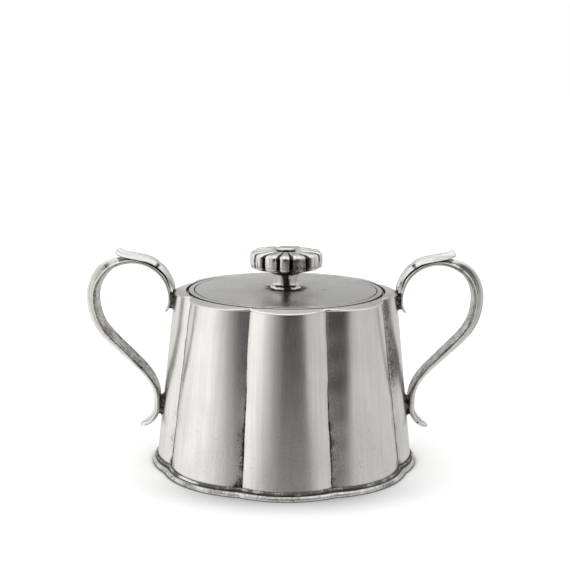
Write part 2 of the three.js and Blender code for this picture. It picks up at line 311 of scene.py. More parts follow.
def pewter(name, tone, roughness, brush=1.0, grit=1.0, dullness=0.0, smears=0.0,
           patina_and_shade=(0.045, 0.042, 0.036)):
    """Satin pewter: brushed along the flow UV, pitted where the grain mask says, and dark where its
    patina mask says, in its recesses and where that mask carries painted shade and painted dark
    reflections. brush and grit scale the relief, dullness darkens the whole of it, and smears
    leaves dark streaks along the flow."""
    material = bpy.data.materials.new(name)
    material.use_nodes = True
    n = Nodes(material.node_tree)
    flow = n.add("UVMap", uv_map="flow").outputs["UV"]
    place = n.add("TexCoord").outputs["Object"]
    patina_and_shade_mask = n.add("Attribute", attribute_name="patina_and_shade").outputs["Fac"]
    grain_mask = n.add("Attribute", attribute_name="grain").outputs["Fac"]
    hairs = n.noise(flow, (6.0, 0.16, 1.0), 3.0, 0.65)
    streaks = n.noise(flow, (0.7, 0.02, 1.0), 3.0, 0.6)
    clouds = n.noise(place, (70.0, 70.0, 45.0), 3.0)
    grain = n.noise(place, (1400.0, 1400.0, 1100.0), 3.0, 0.65)
    pits = n.ramp(n.noise(place, (820.0, 820.0, 820.0), 1.0, 0.4), 0.66, 0.74)

    # Patina and painted shade follow their mask, broken up by the grain
    broken = n.math("MULTIPLY_ADD", n.math("SUBTRACT", grain, 0.5),
                    n.math("MULTIPLY_ADD", grain_mask, 1.3, 0.4), patina_and_shade_mask)
    dark = n.ramp(n.math("MULTIPLY", broken, n.ramp(patina_and_shade_mask, 0.02, 0.2)), 0.25, 0.8)
    pitted = n.math("MULTIPLY", pits, n.math("MULTIPLY_ADD", grain_mask, 0.7, -0.02))
    soil_and_shade = n.math("MAXIMUM", dark, n.math("MULTIPLY", pitted, 0.75))
    if smears:
        lines = n.ramp(n.noise(flow, (1.1, 0.05, 1.0), 3.0, 0.7), 0.47, 0.66, 0.0, smears)
        soil_and_shade = n.math("MAXIMUM", soil_and_shade, lines)

    worn = tuple(c * 0.9 for c in tone) + (1.0,)
    colour = n.mix(n.ramp(streaks, 0.35, 0.65), tone + (1.0,), worn)
    colour = n.mix(n.ramp(clouds, 0.35, 0.7, 0.0, 0.55), colour,
                   tuple(c * 0.8 for c in tone) + (1.0,))
    rough_spots = n.math("MULTIPLY", grain_mask, n.ramp(grain, 0.38, 0.56, 0.8, 0.0))
    colour = n.mix(n.math("MULTIPLY", grain_mask, rough_spots), colour,
                   tuple(c * 0.35 for c in tone) + (1.0,))
    if dullness:
        colour = n.mix(dullness, colour, tuple(c * 4 for c in patina_and_shade) + (1.0,))
    colour = n.mix(soil_and_shade, colour, patina_and_shade + (1.0,))

    gloss = n.math("MULTIPLY_ADD", n.math("SUBTRACT", hairs, 0.5), 0.16, roughness)
    gloss = n.math("MULTIPLY_ADD", n.math("SUBTRACT", clouds, 0.5), 0.14, gloss)
    gloss = n.math("MULTIPLY_ADD", grain_mask, 0.16, gloss)
    gloss = n.math("MULTIPLY_ADD", n.ramp(grain_mask, 0.5, 1.0), 0.14, gloss)
    gloss = n.math("MULTIPLY_ADD", soil_and_shade, 0.25, gloss)

    relief = n.math("MULTIPLY", n.math("SUBTRACT", hairs, 0.5), 0.007 * brush)
    relief = n.math("MULTIPLY_ADD", n.math("SUBTRACT", streaks, 0.5), 0.025 * brush, relief)
    rubbed = n.math("MULTIPLY_ADD", n.math("MULTIPLY", grain_mask, grain_mask), 0.32 * grit, 0.004)
    relief = n.math("MULTIPLY_ADD", n.math("SUBTRACT", grain, 0.5), rubbed, relief)
    relief = n.math("MULTIPLY_ADD", pitted, -0.04 * grit, relief)
    bump = n.add("Bump", {"Strength": 1.0, "Distance": MM, "Height": relief}).outputs[0]
    shader = n.add("BsdfPrincipled", {"Base Color": colour, "Metallic": 1.0, "Roughness": gloss,
                                      "Normal": bump})
    n.add("OutputMaterial", {"Surface": shader.outputs[0]})
    return material


BRIGHT = (0.74, 0.727, 0.69)
FINISHES = {
    "pewter_wall": pewter("pewter_wall", BRIGHT, 0.225),
    "pewter_rim": pewter("pewter_rim", (0.76, 0.748, 0.71), 0.25, brush=0.6,
                         patina_and_shade=(0.13, 0.122, 0.106)),
    "pewter_lid": pewter("pewter_lid", (0.68, 0.67, 0.64), 0.245, brush=0.7, grit=0.6),
    "pewter_cast": pewter("pewter_cast", BRIGHT, 0.18, brush=0.5, smears=0.35),
    "pewter_inner": pewter("pewter_inner", (0.62, 0.61, 0.58), 0.42, dullness=0.2),
    "pewter_solder": pewter("pewter_solder", (0.5, 0.49, 0.46), 0.4, dullness=0.3),
    "screw_metal": pewter("screw_metal", (0.52, 0.51, 0.50), 0.32, brush=0.4),
}


def fit(piece, finish, body, *nodes):
    piece.data.materials.append(FINISHES[finish])
    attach(piece, body)
    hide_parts(*nodes)
    return piece


# ---- Bowl ----


def wall_crest(z):
    return lerp(WALL_CREST_BOTTOM, WALL_CREST_TOP, (z - WALL_BOTTOM) / (WALL_TOP - WALL_BOTTOM))


def wall_depth(z):
    return lerp(LOBE_DEPTH_BOTTOM, LOBE_DEPTH_TOP, (z - WALL_BOTTOM) / (WALL_TOP - WALL_BOTTOM))


def wall_radius(angle, z):
    """Radius of the outside of the lobe in the middle of a side, at an angle off its crest."""
    return lobe_radius(wall_crest(z), wall_depth(z), angle, math.radians(LOBE_SPANS[2] / 2))


def crease_angle(crease):
    return math.radians(sum(LOBE_SPANS[:crease]) - LOBE_SPANS[0] / 2)


def make_wall():
    t = WALL_THICKNESS
    top = WALL_TOP + 0.3
    path = outline([(WALL_CREST_BOTTOM, WALL_BOTTOM, 0.2), (WALL_CREST_TOP, top, 0.05),
                    (WALL_CREST_TOP - t, top, 0.2), (WALL_CREST_BOTTOM - t, WALL_BOTTOM, 0.2)],
                   longest=1.2)
    rings, distance, angle, crease = lobed_rings(path, lambda r, z: wall_depth(z))
    height = path[:, 1:]
    outside = (path[:, :1] > wall_crest(height) - 0.5).astype(float)
    # The side creases are darker than the front ones, which are burnished near the top
    side = np.isin(crease, (0, 1, 4, 5), invert=True)[None, :]
    burnished = lerp(1.05, np.where(side, 1.1, 0.5), smoothstep(height, 28, 52))
    uneven = 0.85 + 0.4 * rough_noise(rings, 4.0, 3.0) + 0.2 * rough_noise(rings, 2.0, 6.0)
    # The front and back lobes are clean right up to their creases
    clean = ((angle < crease_angle(1)) | ((angle > crease_angle(4)) & (angle < crease_angle(5))))
    spread = 1 - 0.75 * clean * smoothstep(distance, 0.2, 0.8)
    patina_and_shade = bell(distance, 0, 0.4) * burnished * uneven
    patina_and_shade = np.maximum(patina_and_shade, 0.58 * bell(distance, 0, 3.8) * burnished * uneven
                        * lerp(1, 0.2, smoothstep(height, 22, 48)) * lerp(1, 0.4, side) * spread)
    # The darkest pool of tarnish is at the foot of the crease at the front left
    darkest = (crease == 0)[None, :]
    pools = bell(distance, 0, lerp(3.4, 5.4, darkest)) * spread
    pools = pools * (1 - smoothstep(height, 3.5, 11.5)) * lerp(0.6, 0.85, darkest)
    patina_and_shade = np.maximum(patina_and_shade, pools * (1 + 0.5 * rough_noise(rings, 3.4, 2.0)))
    # A painted dark reflection of the right handle, in a streak beside the crease in front of it
    aside = (angle - crease_angle(2)) * 48
    reach = lerp(11, 6, smoothstep(height, 46, 66))
    painted_handle_reflection = smoothstep(aside, 0.0, 0.8) * (1 - smoothstep(aside, reach - 3, reach + 1.5))
    painted_handle_reflection = painted_handle_reflection * smoothstep(height, 22, 44) * (0.6 + 0.08 * rough_noise(rings, 6.0, 1.0))
    patina_and_shade = np.maximum(patina_and_shade, painted_handle_reflection)
    foot = 0.6 * (1 - smoothstep(height, 3.2, 4.4))
    patina_and_shade = np.maximum(patina_and_shade, foot)
    # Soot from soldering round the lower ends of the handles
    sideways = np.minimum(abs(angle - math.pi / 2), abs(angle - 1.5 * math.pi)) * 51
    soot = bell(sideways, 0, 4.6) * (smoothstep(height, 8, 19) * (1 - smoothstep(height, 28, 32)))
    soot = np.maximum(soot, bell(sideways, 0, 4.6) * bell(height, 67.5, 4.0))
    patina_and_shade = np.maximum(patina_and_shade, soot * (0.75 + 0.5 * rough_noise(rings, 3.0, 9.0)))
    grain = bell(distance, 0, 4.4) * lerp(0.35, 1.0, 1 - smoothstep(height, 15, 50)) * spread
    grain = grain * (0.85 + 0.6 * rough_noise(rings, 6.0, 5.0))
    grain = np.maximum(grain, lerp(0.3, 0.04, smoothstep(height, 6, 50)))
    masks = {"patina_and_shade": outside * patina_and_shade + (1 - outside) * 0.22,
             "grain": (outside * grain + (1 - outside) * 0.3).clip(0, 1)}
    across, along = flow_round(rings, path, upright=True)
    wall = surface("wall", rings, across, along, masks, closed_rows=True)
    return fit(wall, "pewter_wall", "bowl", "wall_shell")


def make_flange():
    bead = WALL_CREST_BOTTOM + 0.1
    corners = [(FOOT_OPENING, 0, 0.3), (FLANGE_CREST - 0.8, 0, 0.4), (FLANGE_CREST, 0.5, 0.4),
               (FLANGE_CREST, 1.3, 0.45), (FLANGE_CREST - 0.7, 2.0, 0.3), (bead + 0.55, 1.95, 0.12),
               (bead + 0.85, 2.7, 0.35), (bead + 0.5, 3.3, 0.25), (bead, 3.3, 0.1), (bead, 2.0, 0.1),
               (FOOT_OPENING, 2.0, 0.3)]
    path = outline(corners, longest=2.0, support=0.08)

    def depth_at(radius, height):
        if radius < FOOT_OPENING + 0.7:
            return 0.0
        near_wall = smoothstep(height, 1.9, 2.1) * (radius > bead - 0.6)
        return lerp(FLANGE_LOBE_DEPTH, LOBE_DEPTH_BOTTOM, near_wall) * smoothstep(radius, 46.7, 51)

    rings, distance, angle, _ = lobed_rings(path, depth_at)
    radius, height = path[:, :1], path[:, 1:]
    groove = bell(radius, bead + 0.6, 0.3) * bell(height, 2.0, 0.35)
    upper = (height > 2.02) * (radius > bead + 0.05)
    inner = (radius < bead + 0.05).astype(float)
    # A painted highlight: the patina is cleared from one spot on the flange at the front left
    worn = bell(angle, math.radians(360 - 47), math.radians(5)) * bell(radius, bead + 0.8, 0.4)
    pooled = upper * (0.74 + 0.4 * rough_noise(rings, 2.2, 3.0) - worn)
    patina_and_shade = np.maximum(np.maximum(1.1 * groove, pooled), 0.5 * bell(distance, 0, 0.5) * (radius > 52))
    outer_rim = (0.49 + 0.25 * rough_noise(rings, 6.0, 5.0)) * (radius > bead + 1.2)
    patina_and_shade = np.maximum(patina_and_shade, np.maximum(inner * 0.5, outer_rim))
    grain = 0.4 + 0.3 * rough_noise(rings, 5.0, 2.0)
    across, along = flow_round(rings, path, upright=False)
    masks = {"patina_and_shade": patina_and_shade * (0.95 + 0.25 * rough_noise(rings, 3.0, 6.0)), "grain": grain}
    flange = surface("flange", rings, across, along, masks, closed_rows=True)
    return fit(flange, "pewter_rim", "bowl", "base_flange")


def make_shoulder():
    crest, low, top = SHOULDER_CREST, 71.4, SHOULDER_TOP
    path = outline([(LID_OPENING, low, 0.15), (crest - 0.75, low, 0.05), (crest, 71.9, 0.25),
                    (crest - 0.25, top, 0.35), (LID_OPENING, top, 0.2)],
                   longest=1.0, support=0.12)

    def depth_at(radius, height):
        return LOBE_DEPTH_TOP * smoothstep(radius, LID_OPENING + 0.2, crest - 0.9)

    rings, distance, _, _ = lobed_rings(path, depth_at)
    radius, height = path[:, :1], path[:, 1:]
    # The plate falls a little from the lid's opening to its edge
    reach = np.hypot(rings[..., 0], rings[..., 1])
    share = (height - low).clip(0) / (top - low)
    rings[..., 2] -= SHOULDER_SLOPE * (reach - LID_OPENING).clip(0) * share
    # Painted shade on the inside of the lid's opening, in the gap round the lid
    gap_shade = (radius < LID_OPENING + 0.12) * smoothstep(top - height, 0.1, 0.6)
    # A painted band of shade on the plate a little out from the lid's opening
    shaded_band = bell(reach, LID_OPENING + 2.6, 0.9) * (height > top - 0.2)
    shaded_band = shaded_band * (0.42 + 0.2 * rough_noise(rings, 7.0, 4.0))
    handle_roots = bell(abs(rings[..., 0]), 46.5, 2.2) * bell(rings[..., 1], 0, 5.0)
    seams = 0.6 * bell(distance, 0, 0.4) * (radius > crest - 1.2) * (height < 72)
    patina_and_shade = np.maximum(np.maximum(seams, gap_shade), np.maximum(shaded_band, 0.8 * handle_roots))
    grain = 0.25 + 0.3 * rough_noise(rings, 5.0, 8.0)
    across, along = flow_round(rings, path, upright=False)
    shoulder = surface("shoulder", rings, across, along, {"patina_and_shade": patina_and_shade, "grain": grain},
                       closed_rows=True, sharp=40)
    return fit(shoulder, "pewter_rim", "bowl", "shoulder_plate")


def make_floor_plate():
    edge = WALL_CREST_BOTTOM - WALL_THICKNESS - 0.2
    low, top = WALL_BOTTOM, WALL_BOTTOM + 1.6
    path = outline([(0, low, 0), (edge, low, 0.2), (edge, top, 0.3), (edge - 1.4, top, 0.3),
                    (0, top + 0.25, 0)], closed=False, longest=4)
    rings, _, _, _ = lobed_rings(
        path, lambda r, z: LOBE_DEPTH_BOTTOM * float(smoothstep(r, 30, 50)), steps=14)
    patina_and_shade = 0.25 + 0.5 * smoothstep(path[:, :1], edge - 3, edge)
    across, along = flow_flat(rings)
    plate = surface("bowl_floor", rings, across, along, {"patina_and_shade": patina_and_shade, "grain": 0.25})
    return fit(plate, "pewter_inner", "bowl", "floor_plate")


def make_seat():
    edge = WALL_CREST_TOP - WALL_THICKNESS - 0.2
    path = outline([(38, 69.9, 0.3), (edge, 69.9, 0.2), (edge, 71.2, 0.1), (38, 71.2, 0.3)],
                   longest=1.5)
    rings, _, _, _ = lobed_rings(
        path, lambda r, z: LOBE_DEPTH_TOP * float(smoothstep(r, 39, edge - 0.5)), steps=14)
    across, along = flow_round(rings, path, upright=False)
    patina_and_shade = 0.2 + 0.5 * smoothstep(path[:, :1], 40, 42)
    seat = surface("lid_seat", rings, across, along, {"patina_and_shade": patina_and_shade, "grain": 0.2},
                   closed_rows=True)
    return fit(seat, "pewter_inner", "bowl", "lid_seat_ring")


# ---- Handles ----


def arc(centre, radius, start, end, count=90):
    angle = np.radians(np.linspace(start, end, count))
    return np.stack([centre[0] + radius * np.cos(angle), centre[1] + radius * np.sin(angle)], 1)


def bezier(points, count=60):
    points = np.array(points, float)
    t = np.linspace(0, 1, count)[:, None]
    while len(points.shape) == 2:
        points = points[:, None, :].repeat(count, 1)
    while len(points) > 1:
        points = points[:-1] * (1 - t) + points[1:] * t
    return points[0]


def resample(path, stations):
    """Points and tangents at these distances along a path, in millimetres."""
    steps = np.linalg.norm(np.diff(path, axis=0), axis=1)
    path = path[np.concatenate([[True], steps > 1e-6])]
    length = np.concatenate([[0], np.cumsum(np.linalg.norm(np.diff(path, axis=0), axis=1))])

    def at(distance):
        return np.stack([np.interp(distance, length, path[:, i]) for i in (0, 1)], 1)

    span = 0.8
    stations = stations * length[-1]
    ahead, behind = (stations + span).clip(0, length[-1]), (stations - span).clip(0, length[-1])
    tangent = at(ahead) - at(behind)
    return at(stations), tangent / np.linalg.norm(tangent, axis=1)[:, None], length[-1]


def strap_path():
    """The strap's inner face on the +X side, from the upper tail round the loop to the lower."""
    loop = arc(LOOP_CENTRE, LOOP_RADIUS, 180, -5, 160)
    return np.vstack([
        bezier([(50.2, 63.6), (loop[0, 0], 66), loop[0]]),
        loop,
        bezier([loop[-1], (77, 59.9), (74.4, 56.7), (69.9, 52)]),
        bezier([(69.9, 52), (60.2, 42.15)]),
        bezier([(60.2, 42.15), (56, 37.9), (52.2, 33), (52.1, 27)]),
        bezier([(52.1, 27), (52.1, 23)]),
        bezier([(52.1, 23), (52.1, 19.3), (55.7, 14.3), (60.3, 14.3)]),
    ])


def bent_bar(name, points, tangents, sections, masks, turn, twist=0.0):
    """A bar along a path in the XZ plane. sections[i] is a closed outline of (across, outward),
    turned by twist. Its two ends are closed, and turn is the angle about the bowl's axis."""
    outward = np.stack([-tangents[:, 1], tangents[:, 0]], 1)
    lean = np.array(twist).reshape(-1, 1)
    sections = np.stack([sections[..., 0] * np.cos(lean) - sections[..., 1] * np.sin(lean),
                         sections[..., 1] * np.cos(lean) + sections[..., 0] * np.sin(lean)], -1)
    flat = points[:, None, :] + outward[:, None, :] * sections[..., 1:]
    rows = np.stack([flat[..., 0], sections[..., 0], flat[..., 1]], -1)
    tips = []
    for end, tangent in ((0, -tangents[0]), (-1, tangents[-1])):
        middle = rows[end].mean(0)
        push = np.array([tangent[0], 0, tangent[1]])
        tips.append([lerp(rows[end], middle, 0.45) + push * 0.22,
                     lerp(rows[end], middle, 0.8) + push * 0.30,
                     np.broadcast_to(middle + push * 0.32, rows[end].shape)])
    rows = np.concatenate([np.array(tips[0][::-1]), rows, np.array(tips[1])])
    masks = {key: np.concatenate([value[:1].repeat(3, 0), value, value[-1:].repeat(3, 0)])
             for key, value in masks.items()}
    rows = rows + 0.05 * rough_noise(rows, 3.2, 1 + turn)[..., None] * np.array([1, 0.6, 1])
    around = np.linalg.norm(np.diff(np.concatenate([rows, rows[:, :1]], 1), axis=1), axis=2)
    across = np.concatenate([np.zeros((len(rows), 1)), np.cumsum(around, 1)], 1)
    travel = np.linalg.norm(np.diff(rows.mean(1), axis=0), axis=1)
    along = np.concatenate([[0], np.cumsum(travel)])[:, None].repeat(across.shape[1], 1)
    bar = surface(name, rows, across, along, masks, sharp=50)
    bar.data.transform(Matrix.Rotation(turn, 4, "Z"))
    return bar


def strap_section():
    """The strap's outline: (across in half widths, share of the strap, share of the rib)."""
    outer = [0.97, 0.9, 0.8, 0.7, 0.62, 0.57, 0.53, 0.49, 0.46, 0.43, 0.4, 0.36, 0.31, 0.24, 0.16,
             0.08]
    outer = outer + [0.0] + [-y for y in reversed(outer)]
    inner = [-0.97, -0.9, -0.75, -0.5, -0.25, 0, 0.25, 0.5, 0.75, 0.9, 0.97]
    outline_points = []
    for y in outer:
        edge = 1 - 0.3 * float(smoothstep(abs(y), 0.72, 1.0))
        rib = 1 - float(smoothstep(abs(y), 0.26, 0.46))
        rib *= 1 - 0.14 * (y / 0.3) ** 2 if abs(y) < 0.3 else 0.86
        outline_points.append((y, edge, rib))
    outline_points += [(-1.0, 0.6, 0), (-1.02, 0.42, 0), (-1.0, 0.22, 0)]
    for y in inner:
        outline_points.append((y, 0.13 * float(smoothstep(abs(y), 0.75, 1.0)), 0))
    outline_points += [(1.0, 0.22, 0), (1.02, 0.42, 0), (1.0, 0.6, 0)]
    return np.array(outline_points)


def make_scroll(side, turn):
    ends = 0.03 * (1 - np.cos(np.linspace(0, math.pi / 2, 14)))
    stations = np.concatenate([ends[:-1], np.linspace(0.03, 0.97, 230), 1 - ends[:-1][::-1]])
    points, tangents, length = resample(strap_path(), stations)
    u = stations
    from_end = np.minimum(u, 1 - u) * length
    tip = np.sqrt(1 - (1 - (from_end / 2.4).clip(0, 1)) ** 2)
    near_tips = smoothstep(u, 0, 0.05) * (1 - smoothstep(u, 0.93, 1))
    half_width = HANDLE_WIDTH / 2 * lerp(0.7, 1, near_tips) * lerp(0.45, 1, tip)
    strap = lerp(1.3, STRAP_THICKNESS, smoothstep(u, 0.07, 0.13)) * lerp(0.8, 1, near_tips)
    strap = strap * lerp(0.55, 1, tip)
    rib = RIB_HEIGHT * smoothstep(u, 0.22, 0.36) * lerp(1, 0.25, smoothstep(u, 0.35, 0.95))
    rib = rib * smoothstep(1 - u, 0, 0.035)
    section = strap_section()
    y, share, rib_share = section[None, :, 0], section[None, :, 1], section[None, :, 2]
    rise = strap[:, None] * share + rib[:, None] * rib_share
    channel = bell(abs(y), 0.52, 0.06) * (share > 0.8) * smoothstep(rib[:, None], 0.1, 0.6)
    rise = rise - 0.14 * channel
    sections = np.stack([y * half_width[:, None], rise], -1)
    # Dark in the channel beside the rib and where the rib comes out from under the leaf, and painted shade
    # under the leaf
    outer_face = (share > 0.65).astype(float)
    inner_face = (share < 0.15).astype(float)
    flat = np.stack([y * 4.5 + 0 * u[:, None], 0 * y + length * u[:, None], share + 0 * u[:, None]], -1)
    spots = rough_noise(flat, 2.6, 4 + turn)
    smears = rough_noise(flat * np.array([1.6, 0.16, 1]), 1.0, 2 + turn)
    channel = bell(abs(y), 0.5, 0.09) * outer_face * smoothstep(rib[:, None], 0.05, 0.5)
    patina_and_shade = channel * (1.2 + 0.4 * spots)
    under_leaf_shade = smoothstep(u, 0.1, 0.14) * (1 - smoothstep(u, 0.25, 0.285))
    patina_and_shade = np.maximum(patina_and_shade, 0.8 * under_leaf_shade[:, None] * outer_face * (abs(y) < 0.85))
    flank = outer_face * smoothstep(abs(y), 0.2, 0.4)
    patina_and_shade = np.maximum(patina_and_shade, (0.6 + 0.4 * spots) * bell(u, 0.318, 0.02)[:, None] * flank)
    lower_joint = bell(u, 0.865, 0.03)[:, None] * inner_face
    patina_and_shade = np.maximum(patina_and_shade, lower_joint * 0.8)
    # Painted shade on the strap's sides and inner face between its ends, mottled with dirt
    free = smoothstep(u, 0.1, 0.3) * (1 - smoothstep(u, 0.84, 0.9))
    side_shade = 0.41 + 0.09 * smoothstep(u, 0.45, 0.55)[:, None]
    shade_and_dirt = free[:, None] * (1 - outer_face) * (side_shade + 0.2 * smears + 0.12 * spots)
    patina_and_shade = np.maximum(patina_and_shade, shade_and_dirt)
    edges = ((share < 0.65) & (share > 0.15)).astype(float)
    patina_and_shade = np.maximum(patina_and_shade, edges * smoothstep(spots, 0.3, 0.6) * 0.7)
    grain = 0.15 + 0.2 * (1 - outer_face) + 0.2 * spots
    # The left handle was bent with a slight twist towards the front
    twist = math.radians(7.5 if side == "left" else 0.0) * smoothstep(u, 0.16, 0.4)
    twist = twist * (1 - smoothstep(u, 0.72, 0.86))
    scroll = bent_bar(f"handle_{side}_strap", points, tangents, sections,
                      {"patina_and_shade": patina_and_shade, "grain": grain.clip(0, 1)}, turn, twist)
    return fit(scroll, "pewter_cast", "bowl", f"handle_{side}_scroll")


def make_leaf(side, turn):
    """The thumb leaf: a root collar, a filed notch, and a hollow blade with a lifted tip."""
    inner = LOOP_RADIUS + STRAP_THICKNESS + 0.15
    end = math.radians(104)
    start = LOOP_CENTRE + inner * np.array([math.cos(end), math.sin(end)])
    ahead = np.array([math.sin(end), -math.cos(end)])
    rise = np.array([-ahead[1], ahead[0]])
    reach = np.linspace(0, 1, 40)[:, None]
    straight = start + ahead * LEAF_REACH * reach + rise * 0.55 * smoothstep(reach, 0.72, 1.0)
    path = np.vstack([arc(LOOP_CENTRE, inner, 171, 104, 120), straight])
    stations = np.concatenate([np.linspace(0, 0.34, 30)[:-1], np.linspace(0.34, 0.48, 26)[:-1],
                               np.linspace(0.48, 0.93, 40)[:-1], np.linspace(0.93, 1, 12)])
    points, tangents, length = resample(path, stations)
    u = stations
    notch = bell(u, 0.425, 0.036)
    tip = np.sqrt(1 - (1 - ((1 - u) * length / 0.9).clip(0, 1)) ** 2)
    half_width = np.interp(u, [0, 0.1, 0.38, 0.47, 0.62, 0.8, 1],
                           [2.0, 3.4, 4.4, 4.7, 4.8, 4.1, 2.6]) * lerp(0.7, 1, tip)
    crown = np.interp(u, [0, 0.08, 0.3, 0.4, 0.47, 0.6, 0.85, 1],
                      [0.8, 1.3, 1.8, 2.0, 2.15, 2.0, 1.6, 1.5])
    crown = (crown - 0.22 * notch) * lerp(0.7, 1, tip)
    droop = np.interp(u, [0, 0.5, 0.62, 0.85, 1], [0.0, 0.05, 0.35, 0.9, 1.2])
    across = np.cos(np.linspace(0, math.pi, 34))
    top = np.sqrt((1 - across**2).clip(0)) * 0.55 + (1 - across**2) * 0.45
    ridge = 0.06 * bell(across, 0, 0.14) - 0.07 * bell(abs(across), 0.34, 0.1)
    below = -across[1:-1]
    y = np.concatenate([across, below])
    upper = crown[:, None] * (top + ridge)[None, :]
    floor = np.broadcast_to(0.25 * crown[:, None] * (1 - below**2)[None, :], (len(u), len(below)))
    outward = np.concatenate([upper, floor], 1) - droop[:, None] * (y**2)[None, :]
    sections = np.stack([y[None, :] * half_width[:, None], outward], -1)
    is_top = np.concatenate([np.ones(len(across)), np.zeros(len(below))])[None, :]
    flat = np.stack([y[None, :] * 4.5 + 0 * u[:, None], 0 * y[None, :] + length * u[:, None],
                     is_top + 0 * u[:, None]], -1)
    spots = rough_noise(flat, 2.2, 3 + turn)
    smudge = notch[:, None] * (0.35 + 0.55 * smoothstep(abs(y), 0.3, 0.75))[None, :]
    # The blade's underside carries painted shade, and the notch a dark smudge
    patina_and_shade = np.maximum(smudge * (0.9 + 0.4 * spots), 0.5 * (1 - is_top))
    patina_and_shade = np.maximum(patina_and_shade, bell(abs(y), 0.16, 0.2)[None, :] * is_top * (0.42 + 0.1 * spots))
    patina_and_shade = np.maximum(patina_and_shade, bell(abs(y), 1.0, 0.03)[None, :] * 0.6)
    patina_and_shade = np.maximum(patina_and_shade, (1 - smoothstep(u, 0.0, 0.1))[:, None] * 0.9)
    grain = 0.15 + 0.3 * bell(u, 0.42, 0.06)[:, None] + 0.15 * spots
    leaf = bent_bar(f"handle_{side}_thumb_leaf", points, tangents, sections,
                    {"patina_and_shade": patina_and_shade, "grain": grain.clip(0, 1)}, turn)
    return fit(leaf, "pewter_cast", "bowl", f"handle_{side}_leaf")


def make_pad(side, turn, level, node):
    """Solder between the strap and the wall: a waisted, lumpy ring from one to the other.
    strap_face holds heights on the strap's wall side, and its distance from the axis there."""
    if level == "upper":
        middle, wall_half, strap_half = 68.0, (4.9, 3.9), (4.2, 3.7)
        strap_face = [63.6, 64.8, 66.5, 69.1, 71.8], [49.2, 48.4, 47.9, 47.5, 46.8]
    else:
        middle, wall_half, strap_half = 23.6, (4.9, 5.2), (4.2, 4.3)
        strap_face = [17.5, 19.5, 21.5, 23, 27, 29], [53.9, 52.9, 52.3, 52.1, 52.1, 52.2]
    columns = 64
    angle = np.linspace(0, 2 * math.pi, columns, endpoint=False)
    rows = []
    for share in (-0.5, -0.25, 0.0, 0.15, 0.35, 0.55, 0.75, 0.9, 1.0, 1.15, 1.2):
        spread = float(np.clip(share, 0, 1))
        waist = 1 - 0.12 * math.sin(math.pi * spread)
        shrink = 0.0 if share in (-0.5, 1.2) else 1.0
        y = lerp(wall_half[0], strap_half[0], spread) * waist * np.cos(angle) * shrink
        z = middle + lerp(wall_half[1], strap_half[1], spread) * waist * np.sin(angle) * shrink
        wall_x = np.sqrt(wall_radius(np.arcsin(y / 51), z) ** 2 - y**2)
        strap_x = np.interp(z, *strap_face)
        rows.append(np.stack([lerp(wall_x, strap_x, share), y, z], -1))
    rows = np.array(rows)
    rows[2:9] += 0.16 * rough_noise(rows[2:9], 1.4, 5 + turn)[..., None] * np.array([0, 1, 1])
    across = np.linspace(0, 30, columns + 1)[None, :].repeat(len(rows), 0)
    along = np.arange(len(rows))[:, None].repeat(columns + 1, 1) * 0.4
    patina_and_shade = 0.55 + 0.5 * rough_noise(rows, 1.5, 7)
    pad = surface(f"handle_{side}_{level}_solder", rows, across, along,
                  {"patina_and_shade": patina_and_shade.clip(0, 1), "grain": 0.9}, sharp=60)
    pad.data.transform(Matrix.Rotation(turn, 4, "Z"))
    return fit(pad, "pewter_solder", "bowl", node)


# ---- Lid and knob ----


def make_lid():
    low, rim = 71.5, 72.9
    groove = 37.8
    corners = [(1.8, low, 0.1), (LID_RADIUS - 0.15, low, 0.1), (LID_RADIUS, 72.0, 0.2),
               (LID_RADIUS, rim - 0.25, 0.2), (LID_RADIUS - 0.35, rim, 0.18),
               (groove + 0.36, rim + 0.13, 0.08), (groove, rim - 0.3, 0.06),
               (groove - 0.36, rim + 0.15, 0.08), (30, rim + 0.26, 2), (16, 73.3, 2), (1.8, 73.36, 0)]
    path = outline(corners, longest=1.6, support=0.1)
    rings, _ = round_rings(path, 200)
    radius, height = path[:, :1], path[:, 1:]
    on_top = (height > 72.5).astype(float)
    # An engraved ring, soot and the knob's painted shadow round where the knob was soldered on, and a
    # stray scratch right of the knob
    x, y = rings[..., 0], rings[..., 1]
    engraved = bell(radius, groove, 0.33) * on_top * (1.1 + 0.25 * rough_noise(rings, 5.0, 2.0))
    soot = (1 - smoothstep(radius, 6.4, 12.5)) * on_top * (0.72 + 0.6 * rough_noise(rings, 3.2, 5.0))
    scratch = bell(x, 15.8, 2.0) * bell(y, -3.4, 0.45) * on_top
    rim_shade = smoothstep(radius, LID_RADIUS - 0.35, LID_RADIUS - 0.1)
    patina_and_shade = np.maximum(np.maximum(engraved, soot), np.maximum(scratch, rim_shade))
    patina_and_shade = np.maximum(patina_and_shade, 0.3 * (1 - on_top))
    grain = 0.12 + 0.35 * bell(radius, 8, 5) + 0.25 * bell(radius, LID_RADIUS, 0.6)
    across, along = flow_flat(rings)
    lid = surface("lid", rings, across, along, {"patina_and_shade": patina_and_shade, "grain": grain}, closed_rows=True)
    return fit(lid, "pewter_lid", "lid", "lid_disc")


def make_collar():
    path = outline([(36.4, 67.5, 0.3), (37.6, 67.5, 0.3), (37.6, 71.4, 0.1), (36.4, 71.4, 0.1)],
                   longest=1.5)
    rings, _ = round_rings(path, 180)
    across, along = flow_round(rings, path, upright=False)
    patina_and_shade = 0.2 + 0.4 * smoothstep(path[:, 1:], 70.5, 71.3)
    collar = surface("lid_collar", rings, across, along, {"patina_and_shade": patina_and_shade, "grain": 0.2},
                     closed_rows=True)
    return fit(collar, "pewter_inner", "lid", "lid_locating_ring")


